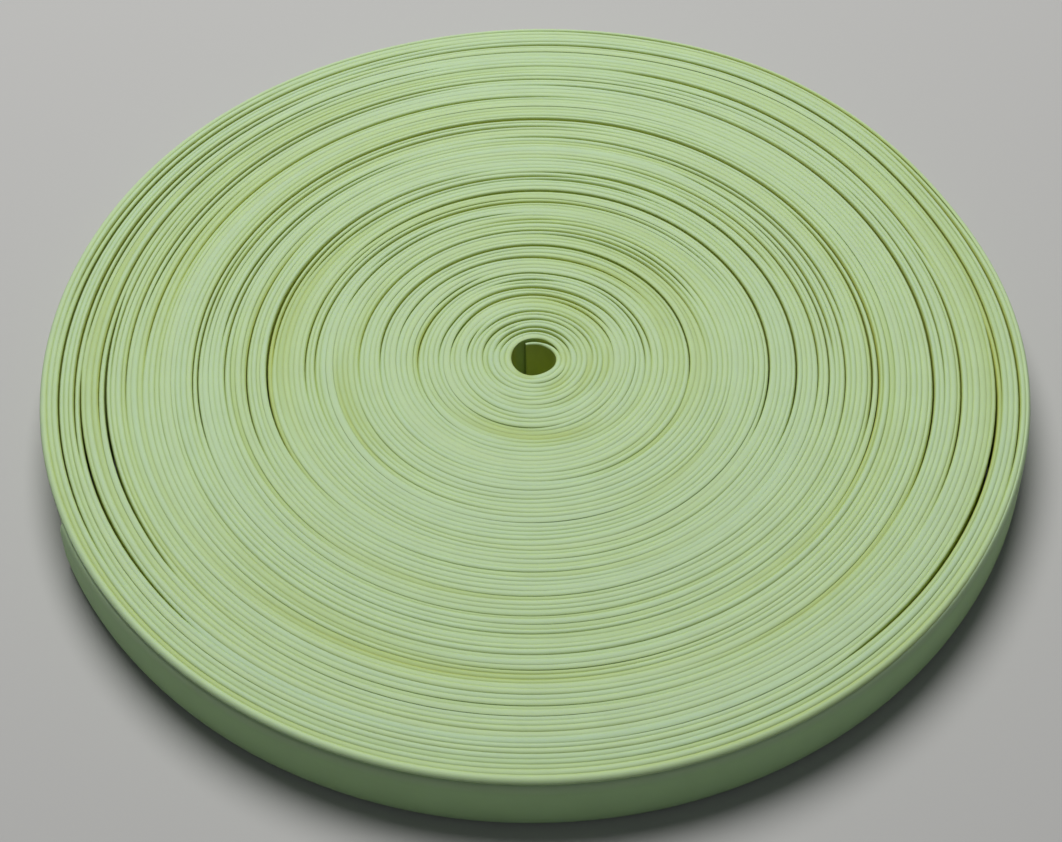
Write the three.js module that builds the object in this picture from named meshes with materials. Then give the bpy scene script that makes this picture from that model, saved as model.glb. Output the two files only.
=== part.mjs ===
// A roll of soaker hose: one length of thin-walled hose pressed flat and wound on edge into a
// flat round roll that lies on its side. Millimetres, +Z up, underside at Z = 0, and the box
// around the roll is centred on the Z axis.
import * as THREE from 'three';

// Driving dimensions.
const FLAT_WIDTH = 25.4; // width of the hose pressed flat, which is the height of the roll
const WALL = 0.8; // the hose's own wall
const TURN_PITCH = 1.945; // from one turn to the next: two walls and the slack between turns
const TURNS = 86.74; // turns from the inner cut end to the outer cut end
const EYE_RADIUS = 6.4; // inner face of the first turn, where the winding starts
const START_ANGLE = THREE.MathUtils.degToRad(110); // where the inner cut end stands
const CLEARANCE = 0.3; // left between solids that touch on the real hose

// The free stretches at the two ends, counted in turns. The rest is the coil.
const INNER_STRETCH = 1; // stands in the eye
const OUTER_STRETCH = 1; // peels off first when the hose is laid out

const CHORD_ERROR = 0.14; // how far a straight step may cut inside the true curve
const FEWEST_STEPS = 36; // of a whole turn, however small
const FOLD_SEGMENTS = 2; // segments of each quarter of a folded edge

const BAND_THICKNESS = TURN_PITCH - CLEARANCE;
const COIL_START = INNER_STRETCH;
const COIL_END = TURNS - OUTER_STRETCH;

// Two walls pressed together have to fit between one turn and the next.
if (2 * WALL > TURN_PITCH) throw new Error('the turns are closer than the flat hose is thick');

const hosePlastic = () =>
  new THREE.MeshStandardMaterial({ color: 0xadc896, roughness: 0.62, metalness: 0 });

// The hose winds outwards clockwise, seen from above: one pitch for each turn.
const angleAt = (turn) => START_ANGLE - 2 * Math.PI * turn;
const innerFaceAt = (turn) => EYE_RADIUS + TURN_PITCH * turn + CLEARANCE / 2;
const outerFaceAt = (turn) => innerFaceAt(turn) + BAND_THICKNESS;

// Straight steps that a whole turn of this radius needs.
const stepsPerTurn = (radius) =>
  Math.max(FEWEST_STEPS, Math.ceil(Math.PI / Math.acos(1 - CHORD_ERROR / radius)));

// The middle line of a stretch of the winding, half the flat width above the ground.
class WindingCurve extends THREE.Curve {
  constructor(fromTurn, toTurn) {
    super();
    this.fromTurn = fromTurn;
    this.toTurn = toTurn;
  }

  getPoint(t, target = new THREE.Vector3()) {
    const turn = THREE.MathUtils.lerp(this.fromTurn, this.toTurn, t);
    const radius = (innerFaceAt(turn) + outerFaceAt(turn)) / 2;
    const angle = angleAt(turn);
    return target.set(radius * Math.cos(angle), radius * Math.sin(angle), FLAT_WIDTH / 2);
  }
}

// The section of the flattened hose: two straight walls joined by two folded edges.
function flattenedSection() {
  const foldRadius = BAND_THICKNESS / 2;
  const foldCentre = FLAT_WIDTH / 2 - foldRadius;
  const section = new THREE.Shape();
  section.moveTo(-foldCentre, -foldRadius);
  section.lineTo(foldCentre, -foldRadius);
  section.absarc(foldCentre, 0, foldRadius, -Math.PI / 2, Math.PI / 2, false);
  section.lineTo(-foldCentre, foldRadius);
  section.absarc(-foldCentre, 0, foldRadius, Math.PI / 2, 1.5 * Math.PI, false);
  return section;
}

// A free stretch of the flattened hose along the winding, with both its ends cut square.
function freeStretch(name, fromTurn, toTurn) {
  const curve = new WindingCurve(fromTurn, toTurn);
  const steps = Math.ceil(stepsPerTurn(outerFaceAt(toTurn)) * (toTurn - fromTurn));
  curve.arcLengthDivisions = 4 * steps;
  const geometry = new THREE.ExtrudeGeometry(flattenedSection(), {
    steps,
    curveSegments: FOLD_SEGMENTS,
    bevelEnabled: false,
    extrudePath: curve,
  });
  const mesh = new THREE.Mesh(geometry, hosePlastic());
  mesh.name = name;
  return mesh;
}

// Half of a rim's outline: a rounded corner at the bottom and one at the top.
function rimProfile(radius, outwards) {
  const foldRadius = TURN_PITCH / 2;
  const quarter = Math.PI / (2 * FOLD_SEGMENTS);
  const points = [];
  for (const [height, startAngle] of [[foldRadius, -Math.PI / 2], [FLAT_WIDTH - foldRadius, 0]]) {
    for (let step = 0; step <= FOLD_SEGMENTS; step++) {
      const angle = startAngle + step * quarter;
      const out = foldRadius * (Math.cos(angle) - 1);
      points.push(new THREE.Vector2(radius + outwards * out, height + foldRadius * Math.sin(angle)));
    }
  }
  return points;
}

// The tightly wound turns as one closed ring of their outer shape, wound about its own Y axis.
// It clears the outer stretch where that leaves it, and the inner stretch where that ends.
function coilRing(name) {
  const rimRadius = innerFaceAt(COIL_END) - CLEARANCE;
  const eyeRadius = outerFaceAt(COIL_START) + CLEARANCE;
  const profile = [...rimProfile(rimRadius, 1), ...rimProfile(eyeRadius, -1).reverse()];
  profile.push(profile[0].clone());
  const mesh = new THREE.Mesh(
    new THREE.LatheGeometry(profile, stepsPerTurn(rimRadius)),
    hosePlastic(),
  );
  mesh.name = name;
  mesh.rotation.x = Math.PI / 2;
  return mesh;
}

const winding = new THREE.Group();
winding.add(
  coilRing('hose_coil'),
  freeStretch('hose_outer_end', COIL_END, TURNS),
  freeStretch('hose_inner_end', 0, COIL_START),
);

// The last turn makes the roll a little wider on one side, so the winding's own centre is
// moved off the Z axis by half of that.
const box = new THREE.Box3().setFromObject(winding, true);
winding.position.set(-(box.min.x + box.max.x) / 2, -(box.min.y + box.max.y) / 2, 0);

const soakerHoseRoll = new THREE.Group();
soakerHoseRoll.add(winding);

export default soakerHoseRoll;
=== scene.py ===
"""A roll of soaker hose lying on its side: about 50 m of thin-walled hose, pressed flat and
wound on edge. Lengths of the winding are in millimetres until they reach Blender, in metres."""
import math

import bpy
import numpy as np
from mathutils import Matrix, Vector


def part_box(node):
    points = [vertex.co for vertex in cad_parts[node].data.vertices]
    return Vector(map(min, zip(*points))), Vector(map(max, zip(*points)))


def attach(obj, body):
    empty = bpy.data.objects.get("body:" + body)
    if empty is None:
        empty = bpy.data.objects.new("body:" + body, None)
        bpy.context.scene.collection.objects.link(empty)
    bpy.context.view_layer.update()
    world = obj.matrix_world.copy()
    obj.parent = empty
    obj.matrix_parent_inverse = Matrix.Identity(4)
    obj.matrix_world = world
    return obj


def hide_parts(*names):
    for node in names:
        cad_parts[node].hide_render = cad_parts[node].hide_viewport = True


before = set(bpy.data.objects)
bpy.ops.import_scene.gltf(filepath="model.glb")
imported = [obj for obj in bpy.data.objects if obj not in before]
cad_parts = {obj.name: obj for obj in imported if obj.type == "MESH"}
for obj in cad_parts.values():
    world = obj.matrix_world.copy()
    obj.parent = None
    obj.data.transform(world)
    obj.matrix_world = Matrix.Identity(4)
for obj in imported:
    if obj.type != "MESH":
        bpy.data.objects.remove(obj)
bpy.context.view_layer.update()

MM = 0.001

COIL_LOW, COIL_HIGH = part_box("hose_coil")
CENTRE = (COIL_LOW + COIL_HIGH) / 2 / MM
FLAT_WIDTH = (COIL_HIGH.z - COIL_LOW.z) / MM

# ---------------------------------------------------------------- the hose and its winding
TURN_PITCH = 1.945  # from one turn to the next, on average
TURNS = 86.74  # from the inner cut end to the outer cut end
EYE_RADIUS = 6.4  # where the inner face of the winding starts
START_ANGLE = math.radians(110)  # where the inner cut end stands
PRESSED_HARD = 1.5  # thickness of the flat hose where its neighbours squeeze it
PRESSED_LIGHTLY = 2.4  # thickness where it has room to spring open
LAST_TURN_THICKNESS = 1.85
PRESS = 0.03  # how far two turns that touch sink into each other
FOLD_HEIGHT = 0.85  # how far down a folded edge reaches before the walls run straight
LEAST_FOLD, MOST_FOLD = 0.4, 1.7
UPRIGHT_FOLD_HEIGHT = 1.6  # the same on the outside of the last turn, which nothing squeezes
OPEN_FOLD_HEIGHT = 5.5  # the same where the last turn has sunk towards its end
HEAD_FOLD_HEIGHT = 2.5  # the same on the turn before it, where the last turn has sunk
HEAD_BULGE = 0.9  # how far that turn's edge springs out over the sunk one
LAST_TURN_SUNK = 1.8  # how far the last turn's upper edge has slid down towards its end
END_STANDS_OFF = 0.25  # how far the outer cut end has sprung away from the roll
TIP_NARROWER = 0.9  # how much lower the upper edge is at the inner cut end
TIP_THICKNESS = (0.95, 1.5)  # at the inner cut end and TIP_LENGTH further on
TIP_LENGTH = 0.25  # in turns
TIP_NARROWS_OVER = 0.35  # turns

# What happens towards the outer cut end sets in over these stretches, in turns before it.
LAST_TURN_ROUNDS = (1.0, 0.75)
LAST_TURN_SETTLES = (0.5, 0.27)
LAST_TURN_SINKS = (0.5, 0.2)
HEAD_FORMS = (1.5, 1.2)
END_LIFTS = (0.06, 0.0)
LEAN_WHEN_ROUND, LEAN_ON_SETTLING = 0.15, 0.85  # they add up to a full lean

CENTRING = 0.4  # how much of its distance from the right radius each turn makes good
UNEVEN = 0.2  # how much more or less the turns are squeezed in some places than in others
LOOSE_SHARE = 0.88  # of the listed width, how much a loose place opens
LOOSE_BLUNTNESS = 0.9  # below 1, a loose place opens faster at its ends than a sine does
SMALL_GAP = 0.28  # how wide the unlisted gaps open, which are widest at the back
SMALL_GAP_LEVEL = 0.7  # the noise has to be higher than this for one to open
SMALL_GAPS_AT = math.radians(95)  # the middle of the back
GAP_CLOSED, GAP_OPEN = 0.05, 0.4  # below and above these, folds are pressed and are free

TOP_EDGE = FLAT_WIDTH - 0.3  # usual height of the upper folded edges
TOP_ROUGHNESS = 0.12  # how much the upper edges of neighbouring turns differ
TOP_ROUGHER_AT_FRONT = 0.06
TOP_WAVINESS = 0.15  # slower rise and fall over several turns
BOTTOM_LIFT = 0.12  # how far the lower edges leave the ground here and there
FOLD_VARIATION = 0.3
# Painted shade: a turn sunk below the average level of its neighbours is painted darker and
# yellower, up to this depth.
MOST_SUNK_SHADE = 0.6  # a turn further below its neighbours than this is coloured no deeper
HUE_VARIATION = 0.2

SAMPLES_PER_TURN = 240
FIRST_TURN_SOFTENING = 12  # samples
CHORD_ERROR = 0.03  # how far a straight step may cut inside the true curve
LONGEST_STEP = 1 / 60  # of a turn
SHORTEST_LAST_STEP = 0.2  # of the step before it
SECTION_POINTS = 32

# Seeded noise over the roll: seed, waves round the roll, and turns from one knot to the next.
GAP_NOISE = (5, 6, 0.7)
SQUEEZE_NOISE = (6, 5, 0.7)
TOP_NOISE = (11, 4, 0.7)
TOP_WAVE_NOISE = (12, 3, 3.5)
BOTTOM_NOISE = (13, 5, 1.0)
HUE_NOISE = (21, 3, 0.8)
FOLD_NOISE = (31, 4, 0.9)

# Places where a turn stands off the one inside it: the turn where the gap starts, counted
# along the hose, how many turns it lasts, and how wide it opens. These rows were taken over
# from what another program measured. They are not a list chosen by hand, and not a pattern
# to copy: a short list of round values, or noise as below, would do their work.
LOOSE_PLACES = (
    (2.80, 0.52, 0.50), (3.80, 0.52, 0.50), (5.76, 0.52, 0.40), (7.13, 0.20, 0.30),
    (7.82, 0.50, 0.40), (8.78, 0.17, 0.30), (11.05, 0.26, 0.40), (11.78, 0.50, 0.60),
    (13.75, 0.58, 0.55), (17.10, 0.26, 0.40), (17.73, 0.63, 0.70), (20.08, 0.18, 0.30),
    (21.80, 0.45, 0.60), (24.76, 0.62, 0.95), (28.02, 0.32, 0.40), (28.74, 0.54, 0.55),
    (30.12, 0.14, 0.35), (30.98, 0.34, 0.35), (33.84, 0.22, 0.60), (36.74, 0.54, 0.65),
    (38.75, 0.22, 0.45), (39.88, 0.53, 1.05), (43.86, 0.25, 0.65), (44.78, 0.18, 0.45),
    (45.04, 0.37, 0.70), (45.70, 0.34, 0.90), (47.13, 0.13, 0.40), (49.03, 0.36, 0.55),
    (49.70, 0.24, 0.45), (51.15, 0.25, 0.45), (52.12, 0.20, 0.70), (53.74, 0.28, 0.50),
    (54.08, 0.32, 0.50), (54.80, 0.20, 0.60), (55.00, 0.32, 0.60), (57.78, 0.34, 0.60),
    (58.72, 0.19, 0.45), (59.18, 0.20, 0.55), (59.72, 0.70, 0.95), (66.82, 0.28, 0.50),
    (68.78, 0.15, 0.40), (70.03, 0.37, 1.10), (70.81, 0.24, 0.65), (71.75, 0.36, 0.70),
    (72.18, 0.17, 0.40), (74.78, 0.14, 0.40), (75.23, 0.17, 0.50), (75.69, 0.16, 0.95),
    (76.08, 0.19, 0.85), (76.75, 0.24, 0.70), (77.88, 0.15, 0.60), (79.67, 0.14, 1.00),
    (79.80, 0.18, 0.70), (80.74, 0.28, 0.80), (81.28, 0.18, 1.10), (81.96, 0.39, 0.90),
    (83.70, 0.34, 0.90), (84.81, 0.17, 0.50), (85.18, 0.20, 0.65), (86.03, 0.25, 0.45),
)

# Inner face of the first turn, as turn and radius: the tip stands off the wall of the eye,
# and the turn rises where it climbs over the tip.
FIRST_TURN = (
    (0, 7.5), (0.055, 7.25), (0.12, 7.2), (0.17, 7.35), (0.23, 7.8), (0.30, 8.3),
    (0.37, 8.45), (0.46, 8.15), (0.56, 8.0), (0.65, 8.05), (0.81, 8.1), (0.89, 8.5),
    (0.97, 9.2), (1.05, 9.6), (1.17, 9.7), (1.3, 9.8),
)
FIRST_TURN_SETTLED = 1.3  # from here on, each turn lies on the one before it

# How far the winding runs ahead of its average spiral: turn and offset.
DRIFT = ((0, 0.6), (18, 0.5), (30, 0.1), (50, -0.4), (66, -0.8), (76, -0.2), (TURNS, 0))

# The rim isn't quite round: angle, half width in degrees, and how far it swells.
RIM_SWELLS = ((58, 16, 1.5), (25, 14, -1.4), (-10, 16, 0.5), (105, 20, -0.9), (-90, 40, 0.4))
RIM_SWELLS_FROM, RIM_SWELLS_FULL = 62, 78  # turns over which the swelling sets in


def smooth(low, high, x):
    """0 below low, 1 above high, and a smooth step between them."""
    t = np.clip((x - low) / (high - low), 0, 1)
    return t * t * (3 - 2 * t)


def softened(values, reach):
    """A running average, with the ends held."""
    kernel = np.hanning(2 * reach + 1)
    padded = np.pad(values, reach, mode="edge")
    return np.convolve(padded, kernel / kernel.sum(), mode="valid")


def turning_noise(turn, angle, seed, orders, turns_across):
    """Smooth noise over the roll's plan that runs on from turn to turn: a Fourier series
    round the roll, whose coefficients drift from one turn to the next."""
    random = np.random.default_rng(seed)
    knots = np.arange(-2, TURNS / turns_across + 3)
    total = np.zeros_like(turn)
    place = turn / turns_across
    index = np.floor(place).astype(int)
    part = place - index
    part = part * part * (3 - 2 * part)
    for order in range(orders + 1):
        for wave in (np.cos, np.sin):
            values = random.normal(size=len(knots)) / math.sqrt(1 + order)
            drift = values[index + 2] * (1 - part) + values[index + 3] * part
            total += drift * wave(order * angle)
    return total / math.sqrt(sum(1 / (1 + order) for order in range(orders + 1)))


class Winding:
    """The whole hose, sampled along its winding. Every array has one value for each sample."""

    def __init__(self):
        self.turn = np.append(np.arange(int(TURNS * SAMPLES_PER_TURN)) / SAMPLES_PER_TURN, TURNS)
        self.angle = START_ANGLE - 2 * np.pi * self.turn
        self.gap = self.gaps()
        self.inner, self.thickness = self.wound()
        self.open_inside = smooth(GAP_CLOSED, GAP_OPEN, self.gap)
        self.open_outside = np.interp(self.turn + 1, self.turn, self.open_inside, right=1)
        self.top, self.bottom = self.edges()
        uneven_fold = FOLD_HEIGHT * (1 + FOLD_VARIATION * self.noise(*FOLD_NOISE))
        self.fold = np.clip(uneven_fold, LEAST_FOLD, MOST_FOLD)
        self.outer_fold = self.fold.copy()
        self.bulge = np.zeros_like(self.turn)
        self.lean = np.zeros_like(self.turn)
        # How far each turn lies below the average level of its neighbours; it only deepens the
        # painted shade between the turns.
        level = softened(self.top, SAMPLES_PER_TURN)
        self.sunk = np.clip(level - self.top, 0, MOST_SUNK_SHADE)
        self.hue = 0.5 + HUE_VARIATION * self.noise(*HUE_NOISE)
        self.free_ends()

    def noise(self, seed, orders, turns_across):
        return turning_noise(self.turn, self.angle, seed, orders, turns_across)

    def gaps(self):
        """How far each place stands off the turn inside it."""
        gap = np.zeros_like(self.turn)
        for start, length, width in LOOSE_PLACES:
            t = np.clip((self.turn - start) / length, 0, 1)
            opening = LOOSE_SHARE * width * np.sin(np.pi * t) ** LOOSE_BLUNTNESS
            gap = np.maximum(gap, opening)
        back = 0.5 + 0.5 * np.cos(self.angle - SMALL_GAPS_AT)
        small = np.clip(self.noise(*GAP_NOISE) - SMALL_GAP_LEVEL, 0, 1.5)
        return np.maximum(gap, SMALL_GAP * small * back ** 2)

    def wound(self):
        """Radius of the inner face, and thickness. Each turn lies on the one before it, apart
        from the gaps. The hose springs open or is squeezed flatter so that the roll keeps its
        shape."""
        law = EYE_RADIUS + TURN_PITCH * self.turn
        swell = np.zeros_like(self.turn)
        for centre, half, rise in RIM_SWELLS:
            off = (np.degrees(self.angle) - centre + 180) % 360 - 180
            swell += rise * np.exp(-((off / half) ** 2))
        swell *= smooth(RIM_SWELLS_FROM, RIM_SWELLS_FULL, self.turn)
        target = law + swell + np.interp(self.turn, *zip(*DRIFT))
        uneven = UNEVEN * self.noise(*SQUEEZE_NOISE) * smooth(1, 9, self.turn)

        inner = softened(np.interp(self.turn, *zip(*FIRST_TURN)), FIRST_TURN_SOFTENING)
        thickness = np.full_like(self.turn, LAST_TURN_THICKNESS)
        tip = self.turn < FIRST_TURN_SETTLED - 1
        thickness[tip] = np.interp(self.turn[tip], (0, TIP_LENGTH), TIP_THICKNESS)
        for now in range(int(FIRST_TURN_SETTLED * SAMPLES_PER_TURN), len(self.turn)):
            before = now - SAMPLES_PER_TURN
            room = TURN_PITCH - self.gap[now] + CENTRING * (target[before] - inner[before])
            room += uneven[before] + PRESS
            thick = min(max(room, PRESSED_HARD), PRESSED_LIGHTLY)
            thickness[before] = thick
            inner[now] = inner[before] + thick + self.gap[now] - PRESS
        return inner, thickness

    def edges(self):
        """Heights of the two folded edges. The lower one rests on the ground or nearly so."""
        bottom = BOTTOM_LIFT * np.clip(self.noise(*BOTTOM_NOISE), 0, 2.5)
        front = 0.5 - 0.5 * np.sin(self.angle)
        roughness = TOP_ROUGHNESS + TOP_ROUGHER_AT_FRONT * front
        top = TOP_EDGE + roughness * np.clip(self.noise(*TOP_NOISE), -2, 1.5)
        top += TOP_WAVINESS * np.clip(self.noise(*TOP_WAVE_NOISE), -2, 2)
        return top, bottom

    def towards_end(self, stretch):
        return smooth(TURNS - stretch[0], TURNS - stretch[1], self.turn)

    def free_ends(self):
        """The inner tip is a little narrower. Towards its end the last turn has slid down, its
        upper edge leans against the roll, and the turn before it bulges out over it. The cut
        end stands off a little."""
        tip = 1 - smooth(0.0, TIP_NARROWS_OVER, self.turn)
        self.top -= TIP_NARROWER * tip
        last = self.towards_end(LAST_TURN_ROUNDS)
        settling = self.towards_end(LAST_TURN_SETTLES)
        self.lean += LEAN_WHEN_ROUND * last + LEAN_ON_SETTLING * settling
        self.top -= LAST_TURN_SUNK * self.towards_end(LAST_TURN_SINKS)
        head = self.towards_end(HEAD_FORMS) * (1 - last)
        self.bulge += HEAD_BULGE * head
        self.open_outside = np.maximum(self.open_outside, head)
        self.outer_fold += (HEAD_FOLD_HEIGHT - self.outer_fold) * head
        self.outer_fold += (UPRIGHT_FOLD_HEIGHT - self.outer_fold) * last
        self.outer_fold += (OPEN_FOLD_HEIGHT - self.outer_fold) * settling
        self.inner += END_STANDS_OFF * self.towards_end(END_LIFTS)

    def stretch(self, start, end):
        """The path from one turn to another, with steps as long as the chord error allows:
        its points, and the values that the sweep needs at each of them."""
        places = [start]
        while places[-1] < end:
            radius = EYE_RADIUS + TURN_PITCH * (places[-1] + 1)
            step = min(math.acos(1 - CHORD_ERROR / radius) / math.pi, LONGEST_STEP)
            places.append(places[-1] + step)
        places[-1] = end
        if places[-1] - places[-2] < SHORTEST_LAST_STEP * step:
            del places[-2]
        places = np.array(places)

        def at(values):
            return np.interp(places, self.turn, values)

        radius = at(self.inner + self.thickness / 2)
        angle = START_ANGLE - 2 * np.pi * places
        points = np.stack([
            CENTRE.x + radius * np.cos(angle),
            CENTRE.y + radius * np.sin(angle),
            (at(self.top) + at(self.bottom)) / 2,
        ], axis=1)
        return points * MM, {
            "width": (at(self.top) - at(self.bottom)) * MM,
            "thickness": at(self.thickness) * MM,
            "fold": at(self.fold) * MM,
            "outer_fold": at(self.outer_fold) * MM,
            "bulge": at(self.bulge) * MM,
            "sunk": at(self.sunk) * MM,
            "hue": at(self.hue),
            "lean": at(self.lean),
            "open_inside": at(self.open_inside),
            "open_outside": at(self.open_outside),
            "outer_neighbour": (places < TURNS - 1).astype(float),
        }


# ---------------------------------------------------------------- nodes
class Wire:
    """A node's output that takes part in Python arithmetic."""

    def __init__(self, tree, socket):
        self.tree, self.socket = tree, socket

    def _math(self, operation, *operands):
        return self.tree.math(operation, *operands)

    def __add__(self, other):
        return self._math("ADD", self, other)

    def __radd__(self, other):
        return self._math("ADD", other, self)

    def __sub__(self, other):
        return self._math("SUBTRACT", self, other)

    def __rsub__(self, other):
        return self._math("SUBTRACT", other, self)

    def __mul__(self, other):
        return self._math("MULTIPLY", self, other)

    def __rmul__(self, other):
        return self._math("MULTIPLY", other, self)

    def __truediv__(self, other):
        return self._math("DIVIDE", self, other)

    def __rtruediv__(self, other):
        return self._math("DIVIDE", other, self)


class Nodes:
    """Builds a node tree, for a material or for Geometry Nodes."""

    def __init__(self, tree):
        self.tree = tree

    def add(self, kind, settings=None, inputs=None, out=0):
        """One node: its settings first, then the values or wires of its inputs."""
        node = self.tree.nodes.new(kind)
        for name, value in (settings or {}).items():
            setattr(node, name, value)
        for name, value in (inputs or {}).items():
            if isinstance(value, Wire):
                self.tree.links.new(value.socket, node.inputs[name])
            else:
                node.inputs[name].default_value = value
        return Wire(self, node.outputs[out]) if len(node.outputs) else node

    def math(self, operation, *operands):
        return self.add("ShaderNodeMath", {"operation": operation}, dict(enumerate(operands)))

    def ramp(self, position, stops):
        """A colour ramp: each stop is a position and a colour."""
        wire = self.add("ShaderNodeValToRGB", {}, {"Fac": position})
        ramp = wire.socket.node.color_ramp
        for place, _ in stops[2:]:
            ramp.elements.new(place)
        for element, (place, colour) in zip(ramp.elements, stops):
            element.position = place
            element.color = (*colour, 1)
        return wire

    def vector_math(self, operation, *operands, out=0):
        return self.add(
            "ShaderNodeVectorMath", {"operation": operation}, dict(enumerate(operands)), out
        )


# ---------------------------------------------------------------- sweeping the hose
SQUEEZE = 1.42  # how much wider than the hose its folded edges are against a neighbour
OPEN_SQUEEZE = 1.05  # the same on a side with no neighbour close to it
OPEN_FOLD_GAIN = 0.3  # how much higher the fold grows on such a side
WALL_POINT = 0.3  # section points nearer to mid height than this belong to the walls


def hose_sweep_tree(material):
    """Geometry Nodes that sweep the flattened section along a path. The path's points carry
    the hose's width and thickness there, and how its folded edges are shaped."""
    group = bpy.data.node_groups.new("flattened hose", "GeometryNodeTree")
    sockets = group.interface
    sockets.new_socket("Path", in_out="INPUT", socket_type="NodeSocketGeometry")
    for name, kind, default in (
        ("Section Points", "NodeSocketInt", SECTION_POINTS),
        ("Squeeze", "NodeSocketFloat", SQUEEZE),
    ):
        sockets.new_socket(name, in_out="INPUT", socket_type=kind).default_value = default
    sockets.new_socket("Hose", in_out="OUTPUT", socket_type="NodeSocketGeometry")
    nodes = Nodes(group)
    given = nodes.add("NodeGroupInput").socket.node
    path, section_points, squeeze = (Wire(nodes, given.outputs[i]) for i in range(3))

    def named(name, kind="FLOAT"):
        return nodes.add("GeometryNodeInputNamedAttribute", {"data_type": kind}, {"Name": name})

    def stored(geometry, name, kind, value):
        return nodes.add(
            "GeometryNodeStoreNamedAttribute", {"data_type": kind, "domain": "POINT"},
            {"Geometry": geometry, "Name": name, "Value": value},
        )

    curve = nodes.add("GeometryNodeMeshToCurve", {}, {"Mesh": path})
    curve = stored(curve, "middle", "FLOAT_VECTOR", nodes.add("GeometryNodeInputPosition"))
    curve = stored(curve, "heading", "FLOAT_VECTOR", nodes.add("GeometryNodeInputTangent"))

    # The section starts as a circle of radius 1, turned so that no point is at mid height.
    circle = nodes.add(
        "GeometryNodeCurvePrimitiveCircle", {"mode": "RADIUS"},
        {"Resolution": section_points, "Radius": 1.0},
    )
    half_step = nodes.add("ShaderNodeCombineXYZ", {}, {"Z": math.pi / section_points})
    turned = nodes.add("GeometryNodeTransform", {}, {"Geometry": circle, "Rotation": half_step})
    section = stored(turned, "round", "FLOAT_VECTOR", nodes.add("GeometryNodeInputPosition"))
    swept = nodes.add(
        "GeometryNodeCurveToMesh", {},
        {"Curve": curve, "Profile Curve": section, "Fill Caps": True},
    )

    # Each point moves to its place on the flattened section: straight walls, with half an
    # ellipse as the fold at the top and at the bottom. Against a neighbour the ellipse is
    # wider than the hose, and near the edge its sides reach into the neighbour's, so that no
    # slit shows where two turns touch. Where the hose leans, the crest moves towards the
    # inner wall, until only the outside is rounded, over the whole thickness.
    around = named("round", "FLOAT_VECTOR")
    split = nodes.add("ShaderNodeSeparateXYZ", {}, {0: around}).socket.node
    across, up = Wire(nodes, split.outputs[0]), Wire(nodes, split.outputs[1])
    outside = nodes.math("GREATER_THAN", across, 0.0)
    openness = named("open_outside") * outside + named("open_inside") * (1 - outside)
    widening = squeeze + openness * (OPEN_SQUEEZE - squeeze)
    in_fold = nodes.math("GREATER_THAN", nodes.math("ABSOLUTE", up), WALL_POINT)
    reach = 1.0 + in_fold
    squeezed = nodes.math("MINIMUM", across * widening, reach)
    squeezed = nodes.math("MAXIMUM", squeezed, -1.0 * reach)
    leaning = 2.0 * nodes.math("MAXIMUM", across, 0.0) - 1.0
    lean = named("lean")
    head = nodes.math("MINIMUM", named("bulge") / (HEAD_BULGE * MM), 1.0)
    side = squeezed * (1 - lean) + leaning * lean
    half_width = named("width") * 0.5
    fold = named("fold") * (1 - outside) + named("outer_fold") * outside
    fold = fold * (1 + OPEN_FOLD_GAIN * openness * (1 - lean) * (1 - head))
    bulge = named("bulge") * nodes.math("MAXIMUM", across, 0.0)
    bulge = bulge * nodes.math("GREATER_THAN", up, WALL_POINT)
    height = (half_width - fold) * nodes.math("SIGN", up) + fold * up
    outward = nodes.vector_math("CROSS_PRODUCT", (0.0, 0.0, 1.0), named("heading", "FLOAT_VECTOR"))
    sideways = nodes.vector_math("NORMALIZE", outward)
    offset = nodes.add(
        "ShaderNodeVectorMath", {"operation": "SCALE"},
        {0: sideways, "Scale": side * named("thickness") * 0.5 + bulge},
    )
    rise = nodes.add("ShaderNodeCombineXYZ", {}, {"Z": height})
    place = nodes.vector_math(
        "ADD", named("middle", "FLOAT_VECTOR"), nodes.vector_math("ADD", offset, rise)
    )
    shaped = nodes.add("GeometryNodeSetPosition", {}, {"Geometry": swept, "Position": place})

    # How deep a point lies between two turns, and how far below its upper edge a point in the open
    # lies; the material paints shade from both. The outside of the last turn is in the open.
    enclosed = nodes.math("MAXIMUM", named("outer_neighbour"), nodes.math("LESS_THAN", across, 0.0))
    enclosed = enclosed * (1 - head * outside)
    below = half_width - nodes.math("ABSOLUTE", height)
    shaped = stored(shaped, "depth", "FLOAT", (below + named("sunk")) * enclosed)
    shaped = stored(shaped, "face", "FLOAT", below * (1 - enclosed))
    whole = nodes.add("GeometryNodeRealizeInstances", {}, {"Geometry": shaped})
    finished = nodes.add(
        "GeometryNodeSetMaterial", {}, {"Geometry": whole, "Material": material}
    )
    nodes.add("NodeGroupOutput", {}, {0: finished})
    return group


def swept_hose(name, points, values, tree):
    """A stretch of hose as a plain mesh object."""
    path = bpy.data.meshes.new(name + "_path")
    path.from_pydata(points.tolist(), [(i, i + 1) for i in range(len(points) - 1)], [])
    for key, along in values.items():
        attribute = path.attributes.new(key, "FLOAT", "POINT")
        attribute.data.foreach_set("value", along.astype(np.float32))
    carrier = bpy.data.objects.new(name + "_path", path)
    bpy.context.scene.collection.objects.link(carrier)
    sweep = carrier.modifiers.new("sweep", "NODES")
    sweep.node_group = tree
    identifiers = {
        item.name: item.identifier for item in tree.interface.items_tree
        if item.in_out == "INPUT"
    }
    sweep[identifiers["Section Points"]] = SECTION_POINTS
    sweep[identifiers["Squeeze"]] = SQUEEZE
    evaluated = carrier.evaluated_get(bpy.context.evaluated_depsgraph_get())
    mesh = bpy.data.meshes.new_from_object(evaluated)
    mesh.name = name
    carrier.modifiers.clear()
    bpy.data.objects.remove(carrier)
    bpy.data.meshes.remove(path)
    for unused in ("middle", "heading", "round", *values):
        if unused in mesh.attributes and unused != "hue":
            mesh.attributes.remove(mesh.attributes[unused])
    piece = bpy.data.objects.new(name, mesh)
    bpy.context.scene.collection.objects.link(piece)
    return piece
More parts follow.
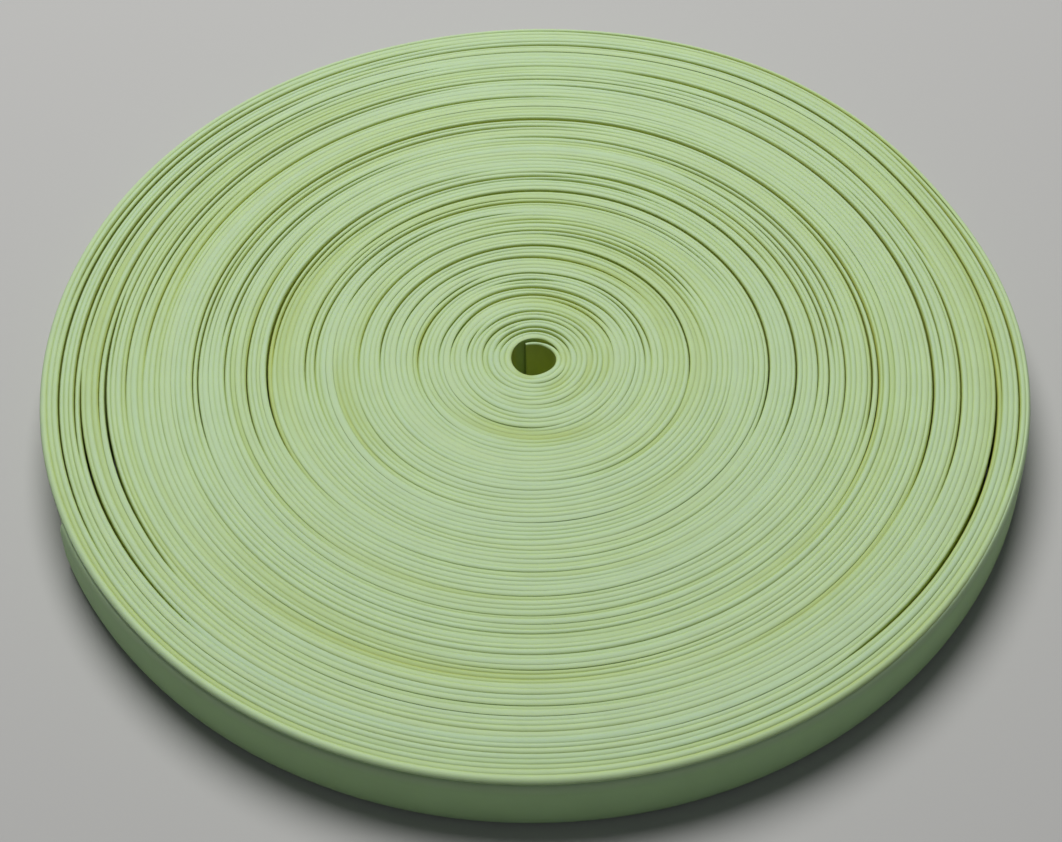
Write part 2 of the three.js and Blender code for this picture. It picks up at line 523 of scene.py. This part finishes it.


# ---------------------------------------------------------------- materials
# Painted shade: the distance below an edge over which the painted shade goes on deepening.
SHADE_REACH = 4.0 * MM  # how far below an edge the colour goes on changing
# Painted shade: the colour that the outer face in the open turns to below its upper edge.
SHADED_FACE_COLOUR = (0.42, 0.63, 0.30)
MOTTLING = (0.93, 1.05)


def multiplied(nodes, colour, by):
    """A colour multiplied by another, or by a grey."""
    return nodes.add(
        "ShaderNodeMix", {"data_type": "RGBA", "blend_type": "MULTIPLY"},
        {0: 1.0, 6: colour, 7: by}, out=2,
    )


def hose_plastic():
    """Soft pale green plastic: matte, a little translucent and mottled, with painted shade: darker
    and yellower the deeper a point lies between the turns, and a darker, deeper green on the outer
    face below its upper edge."""
    material = bpy.data.materials.new("pale green hose plastic")
    material.use_nodes = True
    material.node_tree.nodes.clear()
    nodes = Nodes(material.node_tree)
    place = nodes.add("ShaderNodeTexCoord", out="Object")
    depth = nodes.add("ShaderNodeAttribute", {"attribute_name": "depth"}, out="Fac")
    painted_shade_depth = nodes.add(
        "ShaderNodeMapRange", {}, {"Value": depth, "From Min": 0.0, "From Max": SHADE_REACH}
    )
    blotches = nodes.add(
        "ShaderNodeTexNoise", {}, {"Vector": place, "Scale": 90.0, "Detail": 3.0}
    )
    # Painted shade between the turns: the colour darkens and yellows with depth, standing in for
    # the shade and the yellow light bounced between the walls.
    colour = nodes.ramp(painted_shade_depth, (
        (0.00, (0.51, 0.670, 0.400)),
        (0.03, (0.50, 0.660, 0.350)),
        (0.09, (0.45, 0.590, 0.240)),
        (0.20, (0.54, 0.620, 0.160)),
        (0.45, (0.51, 0.570, 0.095)),
        (1.00, (0.31, 0.350, 0.070)),
    ))
    # Painted shade on the outer face in the open: below its upper edge the colour turns a darker,
    # deeper green.
    face = nodes.add("ShaderNodeAttribute", {"attribute_name": "face"}, out="Fac")
    painted_face_shade = nodes.add(
        "ShaderNodeMapRange", {}, {"Value": face, "From Min": 0.0, "From Max": SHADE_REACH}
    )
    colour = nodes.add(
        "ShaderNodeMix", {"data_type": "RGBA"},
        {0: painted_face_shade, 6: colour, 7: (*SHADED_FACE_COLOUR, 1)}, out=2,
    )
    hue = nodes.add("ShaderNodeAttribute", {"attribute_name": "hue"}, out="Fac")
    tint = nodes.ramp(hue, ((0.0, (0.965, 0.99, 1.08)), (1.0, (1.01, 1.005, 0.95))))
    colour = multiplied(nodes, colour, tint)
    mottling = nodes.add(
        "ShaderNodeMapRange", {},
        {"Value": blotches, "To Min": MOTTLING[0], "To Max": MOTTLING[1]},
    )
    mottled = multiplied(nodes, colour, mottling)
    grain = nodes.add(
        "ShaderNodeTexNoise", {}, {"Vector": place, "Scale": 2600.0, "Detail": 2.0}
    )
    bump = nodes.add(
        "ShaderNodeBump", {}, {"Strength": 0.15, "Distance": 0.05 * MM, "Height": grain}
    )
    shader = nodes.add("ShaderNodeBsdfPrincipled", {}, {
        "Base Color": mottled, "Roughness": 0.5 + 0.2 * blotches, "Normal": bump,
        "Specular IOR Level": 0.2, "Subsurface Weight": 0.2,
        "Subsurface Radius": (1.0, 1.0, 0.35), "Subsurface Scale": 1.0 * MM,
    })
    nodes.add("ShaderNodeOutputMaterial", {}, {"Surface": shader})
    return material


def plain_material(name, colour, roughness):
    material = bpy.data.materials.new(name)
    material.use_nodes = True
    shader = material.node_tree.nodes["Principled BSDF"]
    shader.inputs["Base Color"].default_value = (*colour, 1)
    shader.inputs["Roughness"].default_value = roughness
    return material


# ---------------------------------------------------------------- camera and light
CAMERA_ELEVATION = math.radians(50.6)
CAMERA_ROLL = math.radians(-0.63)
CAMERA_DISTANCE = 0.918
CAMERA_LENS = 85.6
SENSOR_WIDTH = 36
AIM = Vector((CENTRE.x - 1.1, CENTRE.y - 8.6, 0)) * MM
KEY_HEIGHT_ANGLE = math.radians(66)  # the key light stands behind the roll, this high
KEY_DISTANCE = 1.7
KEY_LEFT = 0.15  # the key light stands this far left of the middle
KEY_SIZE, KEY_POWER, KEY_COLOUR = 1.1, 28, (1, 0.99, 0.96)
FILL_PLACE = (0.3, -1.4, 1.1)
FILL_SIZE, FILL_POWER, FILL_COLOUR = 1.2, 0.6, (0.93, 0.97, 1)
FLOOR_REACH = 4.0  # half the floor's width
FLOOR_DROP = 0.0002  # the floor lies this far below the hose, so that they don't share a plane
FLOOR_COLOUR = (0.50, 0.50, 0.50)
SKY_COLOUR, SKY_STRENGTH = (0.93, 0.98, 1.0), 0.07


def add_camera():
    camera = bpy.data.objects.new("camera", bpy.data.cameras.new("camera"))
    camera.data.lens = CAMERA_LENS
    camera.data.sensor_width = SENSOR_WIDTH
    camera.data.clip_start = 0.01
    bpy.context.scene.collection.objects.link(camera)
    back = Vector((0, -math.cos(CAMERA_ELEVATION), math.sin(CAMERA_ELEVATION)))
    camera.matrix_world = (
        Matrix.Translation(AIM + CAMERA_DISTANCE * back)
        @ Matrix.Rotation(math.pi / 2 - CAMERA_ELEVATION, 4, "X")
        @ Matrix.Rotation(CAMERA_ROLL, 4, "Z")
    )
    bpy.context.scene.camera = camera


def add_area_light(name, place, size, power, colour):
    light = bpy.data.objects.new(name, bpy.data.lights.new(name, "AREA"))
    light.data.shape = "DISK"
    light.data.size = size
    light.data.energy = power
    light.data.color = colour
    light.location = place
    light.rotation_euler = (-Vector(place)).to_track_quat("-Z", "Y").to_euler()
    bpy.context.scene.collection.objects.link(light)


def add_stage():
    floor_mesh = bpy.data.meshes.new("floor")
    corners = [
        (x * FLOOR_REACH, y * FLOOR_REACH, 0) for x, y in ((-1, -1), (1, -1), (1, 1), (-1, 1))
    ]
    floor_mesh.from_pydata(corners, [], [(0, 1, 2, 3)])
    floor = bpy.data.objects.new("floor", floor_mesh)
    floor_mesh.materials.append(plain_material("pale floor", FLOOR_COLOUR, 0.9))
    bpy.context.scene.collection.objects.link(floor)
    floor.location.z = -FLOOR_DROP
    world = bpy.data.worlds.new("studio")
    bpy.context.scene.world = world
    world.use_nodes = True
    sky = world.node_tree.nodes["Background"]
    sky.inputs["Color"].default_value = (*SKY_COLOUR, 1)
    sky.inputs["Strength"].default_value = SKY_STRENGTH
    bpy.context.scene.view_settings.view_transform = "Standard"


# ---------------------------------------------------------------- the scene
COIL_CUTS = (1.0, 36.0, 55.0, 71.0, TURNS - 1)  # where the coil's meshes join, in turns
BODY = "root"


def add_lights():
    behind = KEY_DISTANCE * math.cos(KEY_HEIGHT_ANGLE)
    above = KEY_DISTANCE * math.sin(KEY_HEIGHT_ANGLE)
    add_area_light("key", (-KEY_LEFT, behind, above), KEY_SIZE, KEY_POWER, KEY_COLOUR)
    add_area_light("front fill", FILL_PLACE, FILL_SIZE, FILL_POWER, FILL_COLOUR)


def main():
    add_camera()
    add_stage()
    add_lights()

    winding = Winding()
    plastic = hose_plastic()
    tree = hose_sweep_tree(plastic)

    inner = swept_hose("hose_inner_turn", *winding.stretch(0, COIL_CUTS[0]), tree)
    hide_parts("hose_inner_end")
    pieces = [inner]
    for number, (start, end) in enumerate(zip(COIL_CUTS, COIL_CUTS[1:]), 1):
        band = swept_hose(f"hose_coil_band_{number}", *winding.stretch(start, end), tree)
        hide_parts("hose_coil")
        pieces.append(band)
    route, values = winding.stretch(COIL_CUTS[-1], TURNS)
    outer = swept_hose("hose_outer_turn", route, values, tree)
    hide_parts("hose_outer_end")
    pieces.append(outer)
    for piece in pieces:
        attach(piece, BODY)


main()
